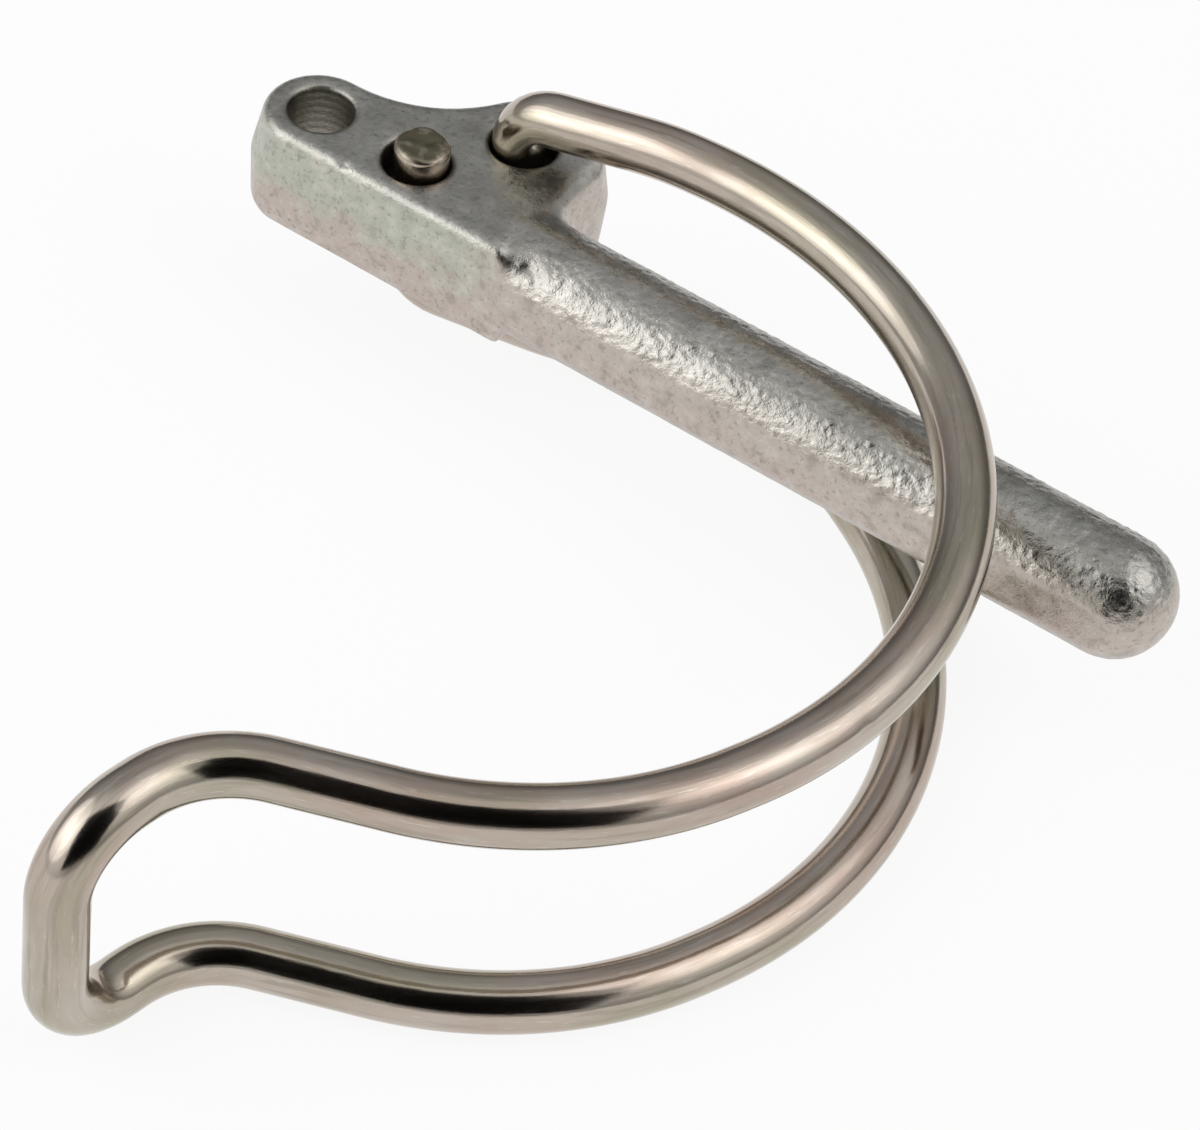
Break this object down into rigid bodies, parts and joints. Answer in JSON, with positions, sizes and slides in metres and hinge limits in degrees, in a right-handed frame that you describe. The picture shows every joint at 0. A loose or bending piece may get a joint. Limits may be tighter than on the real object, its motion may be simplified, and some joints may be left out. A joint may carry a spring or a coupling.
{
  "type": "lynch pin",
  "caption": "Forged lynch pin with a round shank, a flat head with a chain eye, and a bent spring wire bail that swings round a tube and hooks past the pin's tip.",
  "frame": {"origin": "on the shank's axis at the shoulder, where the head ends", "axes": "+X along the shank towards its tip, +Z out of the head's flat upper face, +Y towards the side with the lobe"},
  "size_m": [0.0935, 0.1009, 0.0278],
  "materials": {
    "zinc_forging": "zinc-plated drop forging, pebbled on the shank",
    "zinc_wire": "zinc-plated drawn spring wire, smooth"
  },
  "bodies": {
    "pin": {"forged_pin": "zinc_forging"},
    "bail": {"spring_bail": "zinc_wire"}
  },
  "joints": [
    {"name": "bail_swing", "type": "hinge", "parent": "pin", "child": "bail", "pos_m": [-0.00826, 0.00869, 0], "axis": [0, 0, 1], "range_deg": [0, 95], "stiffness_Nm_per_rad": 0.45, "deforming": ["spring_bail"]}
  ]
}
